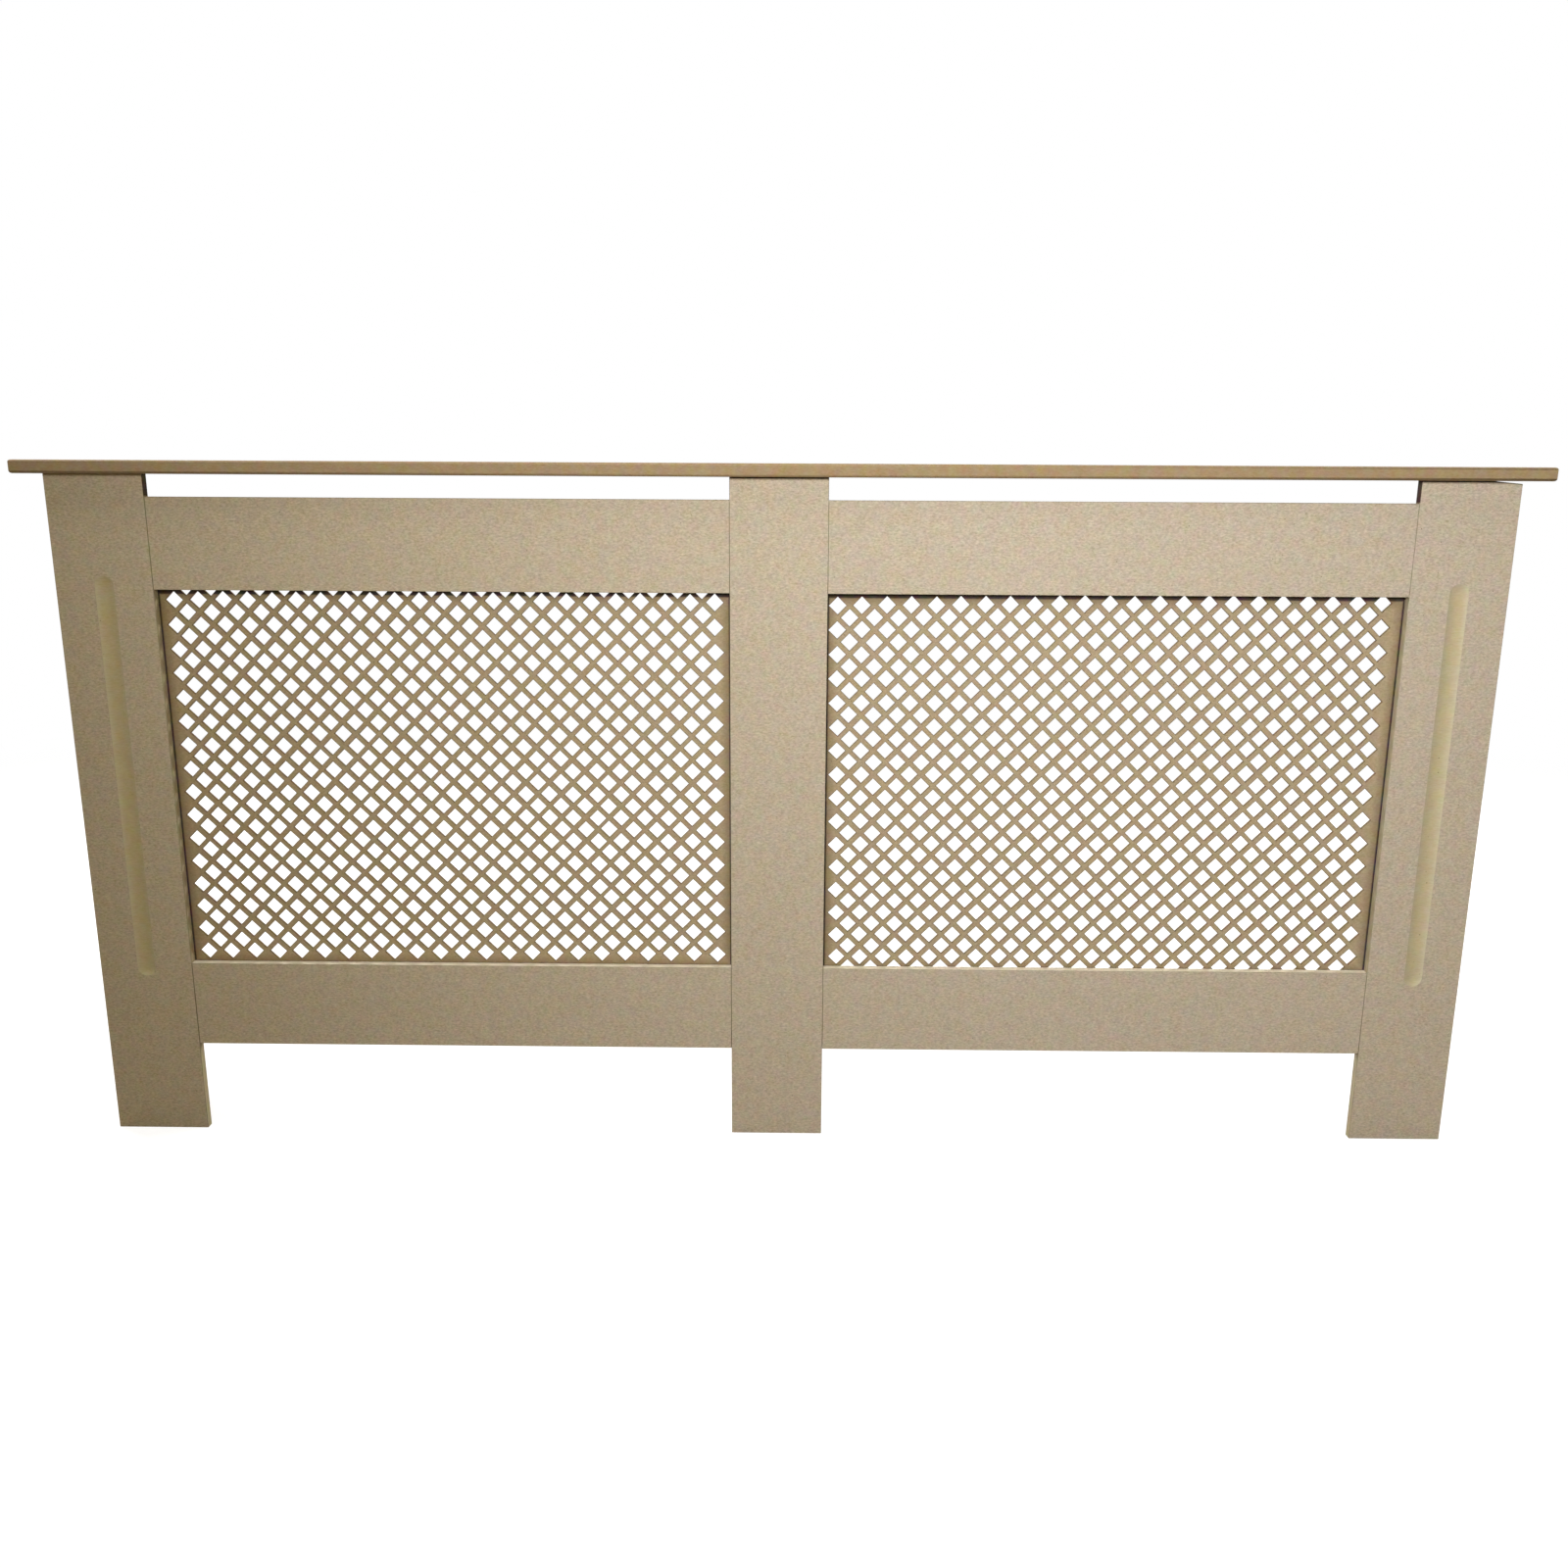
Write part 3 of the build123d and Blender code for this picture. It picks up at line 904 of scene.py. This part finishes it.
def lattice_sheet(low, high, field_x, field_z, lean, long_first, rng):
    """A flat panel with rows of diamond holes, turned a little about its middle.

    The holes were cut one by one by worn cutters, so no two bars are quite as wide.
    """
    sizes = bpy.context.scene.cover_lattice
    middle = (low + high) / 2
    half = sizes.pitch / 2
    rows = 2 * sizes.row_pairs
    bm = lattice_cell()
    cell = everything(bm)
    # Long and short rows stand over each other's gaps, so they use each other column.
    columns_off = [off_place(rng, sizes.row_drift) for _ in range(2 * sizes.long_row)]
    for row in range(rows):
        row_off = off_place(rng, sizes.row_drift)
        long = (row % 2 == 0) == long_first
        holes = sizes.long_row if long else sizes.long_row - 1
        z = field_z + ((rows - 1) / 2 - row) * half
        for column in range(holes):
            x = field_x + (column - (holes - 1) / 2) * sizes.pitch
            centre = Vector((x, 0, z))
            verts = verts_in(bmesh.ops.duplicate(bm, geom=cell)["geom"])
            move(bm, verts, centre)
            off = row_off + columns_off[2 * column + (not long)]
            # The cell's own corners stay, so that it still meets its neighbours.
            inner = [v for v in verts if (v.co - centre).length < 0.98 * half]
            move(bm, inner, off + off_place(rng, sizes.drift))
    bmesh.ops.delete(bm, geom=verts_in(cell))
    bmesh.ops.remove_doubles(bm, verts=bm.verts, dist=5 * MERGE)
    # Fill from the field's zigzag outline to the panel's edge.
    shortest = (sizes.diagonal + half_bar(sizes)) / math.sqrt(2)
    outline = [e for e in bm.edges if e.is_boundary and e.calc_length() > shortest]
    size = (high - low) / 2
    corners = [
        bm.verts.new((sx * size.x, 0, sz * size.z))
        for sx, sz in ((-1, -1), (1, -1), (1, 1), (-1, 1))
    ]
    outline += [bm.edges.new((corners[i], corners[(i + 1) % 4])) for i in range(4)]
    bmesh.ops.triangle_fill(bm, edges=outline, use_beauty=True, normal=(0, -1, 0))
    turn(bm, bm.verts, -lean, "Y")
    move(bm, bm.verts, (middle.x, low.y, middle.z))
    thicken(bm, (0, high.y - low.y, 0))
    bm.normal_update()
    for face in bm.faces:
        if abs(face.normal.y) < FLAT:
            face.material_index = CUT
    return bm


class LatticeOperator(bpy.types.Operator):
    """Make the two lattice panels"""

    bl_idname = "cover.lattice_panels"
    bl_label = "Lattice panels"

    def execute(self, context):
        sizes = context.scene.cover_lattice
        # The right-hand panel is turned end for end, so its long row is at the top.
        right_z = sizes.right_shift_z - sizes.field_shift
        places = {
            "left": (0.0, sizes.field_shift, 0.0, False),
            "right": (sizes.right_shift_x, right_z, sizes.right_turn, True),
        }
        rng = random.Random(LATTICE_SEED)
        for side in SIDES:
            node = f"{side}_lattice_panel"
            low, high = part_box(node)
            bm = lattice_sheet(low, high, *places[side], rng)
            loose = [edge for edge in bm.edges if not edge.is_manifold]
            if loose:
                raise RuntimeError(f"{node} has {len(loose)} open edges")
            finishes = ["lattice", "lattice_cut", "lattice_rim"]
            finish_board_piece(node, bm, finishes)
        return {"FINISHED"}


# --- Fastenings -----------------------------------------------------------------------
def corners_of(points):
    """The lowest and highest corner of some points."""
    low = Vector([min(point[axis] for point in points) for axis in (X, Y, Z)])
    high = Vector([max(point[axis] for point in points) for axis in (X, Y, Z)])
    return low, high


def longest_axis(low, high):
    """The axis on which two corners are furthest apart."""
    return max((X, Y, Z), key=lambda axis: high[axis] - low[axis])


def solids(node):
    """The corners of each separate solid of a CAD node, sorted by place."""
    bm = bmesh.new()
    bm.from_mesh(frame["nodes"][node].data)
    bmesh.ops.remove_doubles(bm, verts=bm.verts, dist=MERGE)
    waiting = set(bm.verts)
    found = []
    while waiting:
        group, reached = [], [waiting.pop()]
        while reached:
            vert = reached.pop()
            group.append(vert.co.copy())
            for link in vert.link_edges:
                other = link.other_vert(vert)
                if other in waiting:
                    waiting.remove(other)
                    reached.append(other)
        found.append(group)
    bm.free()
    return sorted(found, key=lambda group: corners_of(group)[0].to_tuple(4))


def screw_template(shank):
    """A pan-head screw with a cross recess, its head up and its seat at the origin."""
    sizes = bpy.context.scene.cover_fastenings
    radius, height = sizes.head_radius, sizes.head_height
    outline = (
        (0.0, height),
        (0.45 * radius, 0.98 * height),
        (0.75 * radius, 0.84 * height),
        (0.95 * radius, 0.55 * height),
        (radius, 0.2 * height),
        (0.97 * radius, 0.0),
        (sizes.shank_radius, 0.0),
        (sizes.shank_radius, -shank + 2 * sizes.shank_radius),
        (0.0, -shank),
    )
    bm = bmesh.new()
    verts = [bm.verts.new((r, 0, z)) for r, z in outline]
    edges = [bm.edges.new(pair) for pair in zip(verts, verts[1:])]
    bmesh.ops.spin(
        bm,
        geom=verts + edges,
        cent=(0, 0, 0),
        axis=(0, 0, 1),
        angle=2 * math.pi,
        steps=20,
        use_merge=True,
    )
    close_up(bm)
    smooth(bm)
    cutter = bmesh.new()
    bmesh.ops.create_cone(
        cutter,
        cap_ends=True,
        segments=4,
        radius1=0.1 * radius,
        radius2=0.62 * radius,
        depth=0.75 * height,
    )
    # Pull the four sides in between the corners, so that the recess is a cross.
    level = [e for e in cutter.edges if abs(e.verts[0].co.z - e.verts[1].co.z) < NEAR]
    bmesh.ops.subdivide_edges(cutter, edges=level, cuts=3, use_grid_fill=False)
    arm = 0.16 * radius
    for vert in cutter.verts:
        least = min(abs(vert.co.x), abs(vert.co.y))
        if vert.co.z > 0 and least > arm:
            vert.co.x *= arm / least
            vert.co.y *= arm / least
    move(cutter, cutter.verts, (0, 0, 0.68 * height))
    bmesh.ops.recalc_face_normals(cutter, faces=cutter.faces)
    return carve(bm, cutter)


def add_screws(name, seats, shank, nodes=()):
    """A group of screws on seats, each a place and the direction its head looks."""
    template = screw_template(shank)
    bm = bmesh.new()
    for index, (place, direction) in enumerate(seats):
        verts = put_into(bm, template.copy())
        # No two screws stop at the same turn.
        degrees = 37 * index + 11
        spun = Matrix.Rotation(math.radians(degrees), 3, "Z")
        aimed = Vector(direction).to_track_quat("Z", "Y").to_matrix()
        bmesh.ops.transform(bm, matrix=(aimed @ spun).to_4x4(), verts=verts)
        move(bm, verts, place)
    template.free()
    finish_piece(name, bm, ["screw"], nodes)


def screws_for(node):
    """Replace a CAD node's screws where they stand, head by head."""
    head = bpy.context.scene.cover_fastenings.head_height
    seats = []
    for points in solids(node):
        low, high = corners_of(points)
        axis = longest_axis(low, high)
        middle = (low + high) / 2
        # The head has more points than the shank, so their mean lies on its side.
        mean = sum(point[axis] for point in points) / len(points)
        sign = 1 if mean > middle[axis] else -1
        direction = Vector((0, 0, 0))
        direction[axis] = sign
        place = middle.copy()
        place[axis] = (high if sign > 0 else low)[axis] - sign * head
        seats.append((place, direction))
        shank = high[axis] - low[axis] - head
    add_screws(f"{node}_set", seats, shank, [node])


def screws_behind(name, points, low, high):
    """A side's screws, driven from behind through a sheet and into the frame."""
    sizes = bpy.context.scene.cover_fastenings
    seats = [(Vector((x, high.y, z)), Vector((0, 1, 0))) for x, z in points]
    add_screws(name, seats, sizes.bite + high.y - low.y)


class JoiningPlateOperator(bpy.types.Operator):
    """Make the joining plates and their screws"""

    bl_idname = "cover.joining_plates"
    bl_label = "Joining plates"

    def execute(self, context):
        sizes = context.scene.cover_fastenings
        for side in SIDES:
            node = f"{side}_joining_plates"
            whole = bmesh.new()
            points = []
            for solid in solids(node):
                low, high = corners_of(solid)
                plate = block_between(low, high)
                ease(plate, edges_along(plate, Y), sizes.plate_corner, 4)
                outer = edges_where(plate, lambda at: at.y > high.y - NEAR)
                ease(plate, outer, sizes.plate_arris, 1)
                put_into(whole, plate)
                middle = (low + high) / 2
                for way in (-0.5, 0.5):
                    x = middle.x + way * sizes.plate_screw_spacing
                    points.append((x, middle.z))
            finish_piece(f"{node}_set", whole, ["zinc"], [node])
            screws_behind(f"{side}_joining_plate_screws", points, low, high)
        return {"FINISHED"}


class PanelScrewOperator(bpy.types.Operator):
    """Make the small screws that hold the lattice panels"""

    bl_idname = "cover.panel_screws"
    bl_label = "Panel screws"

    def execute(self, context):
        sizes = context.scene.cover_fastenings
        inset, end = sizes.lattice_screw_edge, sizes.lattice_screw_end
        for side in SIDES:
            low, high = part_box(f"{side}_lattice_panel")
            points = []
            for step in range(5):
                x = low.x + end + step / 4 * (high.x - low.x - 2 * end)
                points += [(x, low.z + inset), (x, high.z - inset)]
            for step in range(1, 4):
                z = low.z + step / 4 * (high.z - low.z)
                points += [(low.x + inset, z), (high.x - inset, z)]
            screws_behind(f"{side}_panel_screws", points, low, high)
        return {"FINISHED"}


def moulded_block(points):
    """A corner block with its free edge bevelled and all its edges rounded."""
    sizes = bpy.context.scene.cover_fastenings
    low, high = corners_of(points)
    axis = longest_axis(low, high)
    first, second = [k for k in (X, Y, Z) if k != axis]

    def apart(at, corner):
        return math.hypot(at[first] - corner[0], at[second] - corner[1])

    # The CAD block is bevelled at its free edge, so no point of it comes near there.
    ends = (low, high)
    corners = [(one[first], other[second]) for one in ends for other in ends]
    free = max(corners, key=lambda corner: min(apart(at, corner) for at in points))
    bm = block_between(low, high)
    ease(bm, edges_where(bm, lambda at: apart(at, free) < NEAR), sizes.block_bevel, 1)
    for face in bm.faces:
        face.smooth = False
    ease(bm, bm.edges[:], sizes.block_arris, 3)
    return bm


class CornerBlockOperator(bpy.types.Operator):
    """Make the moulded corner blocks and their screws"""

    bl_idname = "cover.corner_blocks"
    bl_label = "Corner blocks"

    def execute(self, context):
        places = [f"{side}_{kind}" for side in SIDES for kind in ("corner", "shelf")]
        for stem in [f"{place}_block" for place in places + ["centre_shelf"]]:
            node = f"{stem}s"
            whole = bmesh.new()
            for points in solids(node):
                put_into(whole, moulded_block(points))
            finish_piece(f"{node}_set", whole, ["plastic"], [node])
            screws_for(f"{stem}_screws")
        return {"FINISHED"}


class WallBracketOperator(bpy.types.Operator):
    """Make the steel wall brackets and their screws"""

    bl_idname = "cover.wall_brackets"
    bl_label = "Wall brackets"

    def execute(self, context):
        sizes = context.scene.cover_fastenings
        steel = sizes.bracket_thickness
        mounts = {mount["name"]: mount["pos_m"] for mount in frame["record"]["mounts"]}
        for side, inward in zip(SIDES, (1, -1)):
            node = f"{side}_wall_bracket"
            low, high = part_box(node)
            leg = high.x - low.x
            corner_x = low.x if inward > 0 else high.x

            def from_corner(at):
                """How far a place lies from the bracket's corner, along each leg."""
                return Vector((inward * (at.x - corner_x), high.y - at.y))

            half_angle = [(0, 0), (leg, 0), (leg, steel), (steel, steel)]
            outline = half_angle + [(steel, leg), (0, leg)]
            places = [(corner_x + inward * x, high.y - y, low.z) for x, y in outline]
            bm = prism(places, (0, 0, high.z - low.z))
            # The bend is rounded on its inside and more so on its outside.
            for depth, radius, segments in ((steel, 0.8, 4), (0, 1.6, 6)):
                edge = Vector((depth, depth))
                bend = edges_where(bm, lambda p: (from_corner(p) - edge).length < NEAR)
                ease(bm, bend, radius * steel, segments)
            ends = [
                e
                for e in edges_where(bm, lambda at: max(from_corner(at)) > leg - NEAR)
                if abs(e.calc_length() - steel) < NEAR
            ]
            ease(bm, ends, sizes.bracket_corner, 5)
            place = Vector(mounts[f"{side}_wall_holes"])
            cutter = bmesh.new()
            for way in (-0.5, 0.5):
                drill = bmesh.ops.create_cone(
                    cutter,
                    cap_ends=True,
                    segments=32,
                    radius1=sizes.wall_hole_radius,
                    radius2=sizes.wall_hole_radius,
                    depth=5 * steel,
                )["verts"]
                turn(cutter, drill, math.pi / 2, "X")
                across = Vector((way * sizes.wall_hole_spacing, 0, 0))
                move(cutter, drill, place + across)
            bm = carve(bm, cutter)
            finish_piece(f"{node}_plate", bm, ["zinc"], [node])
            screws_for(f"{node}_screws")
        return {"FINISHED"}


# --- Stage ----------------------------------------------------------------------------
# Where the camera stands, and how far it looks down, turns and leans.
CAMERA_PLACE = (0.0239, -1.7600, 0.8075)
CAMERA_DOWN = math.radians(14.583)
CAMERA_TURN = math.radians(0.557)
CAMERA_LEAN = math.radians(0.305)

# The lamps: setting of their power, place, direction and size.
LAMPS = {
    "key_lamp": ("key_power", (-0.10, -1.62, 1.11), (0.734, 0.678, 0.028), (0.7, 0.3)),
    "top_lamp": ("top_power", (-0.35, -0.35, 2.3), (0.0, 0.0, -1.0), (2.2, 0.7)),
    "rear_lamp_left": ("rear_power", (-2.2, 1.4, 1.5), (2.2, -1.3, -1.05), (1.2, 1.2)),
    "rear_lamp_right": ("rear_power", (2.2, 1.4, 1.5), (-2.2, -1.3, -1.05), (1.2, 1.2)),
}

# The floor as the camera sees it: its own glow, its answer to the lamps, and the
# distances from the middle, in metres, between which it fades to white.
FLOOR_GLOW = 0.8
FLOOR_SEEN = 0.4
FLOOR_FADE = (1.6, 3.4)
FLOOR_REACH = 20.0


def seen_directly(add):
    """1 for rays that come from the camera, a mirror-like surface or glass."""
    rays = add("LightPath").outputs
    seen = rays["Is Camera Ray"]
    for name in ("Is Glossy Ray", "Is Transmission Ray"):
        seen = add("Math", (seen, rays[name]), operation="MAXIMUM")
    return seen


def rolled_vinyl_floor(colour_of_light):
    """Pale matt vinyl, rolled out.

    The eye sees an even white floor with the cabinet's soft shadow on it. It lights the
    cabinet as a plain pale surface, and is white in the distance.
    """
    made, add, place = empty_material("rolled_vinyl_floor")
    plain = add("BsdfDiffuse", {"Color": colour_of_light})
    shadowed = add("BsdfDiffuse", {"Color": (FLOOR_SEEN,) * 3 + (1.0,)})
    glow = add("Emission", {"Strength": FLOOR_GLOW})
    near = add("AddShader", (shadowed, glow))
    far = add("Emission", {"Strength": 1.0})
    reach = add("VectorMath", (place,), operation="LENGTH")
    fade = add("MapRange", (reach, *FLOOR_FADE), interpolation_type="SMOOTHSTEP")
    seen = add("MixShader", (fade, near, far))
    mixed = add("MixShader", (seen_directly(add), plain, seen))
    add("OutputMaterial", {"Surface": mixed})
    return made


def studio_world(tint, strength):
    """Even light all round, and a white backdrop where it is seen."""
    world = bpy.data.worlds.new("studio")
    add = empty_tree(world)
    sky = add("Background", {"Color": tint, "Strength": strength})
    backdrop = add("Background", {"Color": linear("FFFFFF"), "Strength": 1.0})
    mixed = add("MixShader", (seen_directly(add), sky, backdrop))
    add("OutputWorld", {"Surface": mixed})
    return world


def add_lamp(name, watts, place, aim, size, tint):
    """A large soft lamp that looks in a direction, and isn't seen itself."""
    data = bpy.data.lights.new(name, "AREA")
    data.shape = "RECTANGLE"
    data.size, data.size_y = size
    data.energy = watts
    data.color = tint[:3]
    lamp = bpy.data.objects.new(name, data)
    lamp.location = place
    lamp.rotation_euler = Vector(aim).to_track_quat("-Z", "Y").to_euler()
    lamp.visible_camera = False
    bpy.context.scene.collection.objects.link(lamp)


class StageOperator(bpy.types.Operator):
    """Set up the floor, the light and the camera"""

    bl_idname = "cover.stage"
    bl_label = "Studio"

    def execute(self, context):
        scene = context.scene
        studio = scene.cover_studio
        scene.view_settings.view_transform = "Standard"

        bm = bmesh.new()
        bmesh.ops.create_grid(bm, x_segments=1, y_segments=1, size=FLOOR_REACH)
        floor = object_from("floor", bm)
        floor.data.materials.append(rolled_vinyl_floor(studio.floor_colour))
        scene.world = studio_world(studio.sky_colour, studio.sky_strength)
        for name, (setting, *placing) in LAMPS.items():
            add_lamp(name, getattr(studio, setting), *placing, studio.lamp_colour)

        data = bpy.data.cameras.new("camera")
        data.sensor_width = 36.0
        data.lens = studio.lens
        data.shift_y = studio.lens_rise
        data.dof.use_dof = False
        camera = bpy.data.objects.new("camera", data)
        camera.matrix_world = (
            Matrix.Translation(CAMERA_PLACE)
            @ Matrix.Rotation(CAMERA_TURN, 4, "Z")
            @ Matrix.Rotation(-CAMERA_DOWN, 4, "X")
            @ Matrix.Rotation(-CAMERA_LEAN, 4, "Y")
            @ Matrix.Rotation(math.pi / 2, 4, "X")
        )
        scene.collection.objects.link(camera)
        scene.camera = camera
        return {"FINISHED"}


# --- Add-on ---------------------------------------------------------------------------
OPERATORS = (
    StageOperator,
    ShelfOperator,
    FrameOperator,
    EndStileOperator,
    SidePanelOperator,
    LatticeOperator,
    JoiningPlateOperator,
    PanelScrewOperator,
    CornerBlockOperator,
    WallBracketOperator,
)


class RadiatorCoverPanel(bpy.types.Panel):
    """Buttons and settings of the radiator cover"""

    bl_idname = "VIEW3D_PT_radiator_cover"
    bl_label = "Radiator Cover"
    bl_space_type = "VIEW_3D"
    bl_region_type = "UI"
    bl_category = "Radiator Cover"

    def draw(self, context):
        for operator in OPERATORS:
            self.layout.operator(operator.bl_idname, text=operator.bl_label)
        for key, group in SETTING_GROUPS.items():
            box = self.layout.box()
            for name in group.__annotations__:
                box.prop(getattr(context.scene, key), name)


def register():
    for group in SETTING_GROUPS.values():
        bpy.utils.register_class(group)
    for key, group in SETTING_GROUPS.items():
        setattr(bpy.types.Scene, key, PointerProperty(type=group))
    for entry in OPERATORS + (RadiatorCoverPanel,):
        bpy.utils.register_class(entry)


def unregister():
    for entry in reversed(OPERATORS + (RadiatorCoverPanel,)):
        bpy.utils.unregister_class(entry)
    for key in SETTING_GROUPS:
        delattr(bpy.types.Scene, key)
    for group in reversed(SETTING_GROUPS.values()):
        bpy.utils.unregister_class(group)


def main():
    register()
    for operator in OPERATORS:
        group, name = operator.bl_idname.split(".")
        getattr(getattr(bpy.ops, group), name)()


if __name__ == "__main__":
    main()
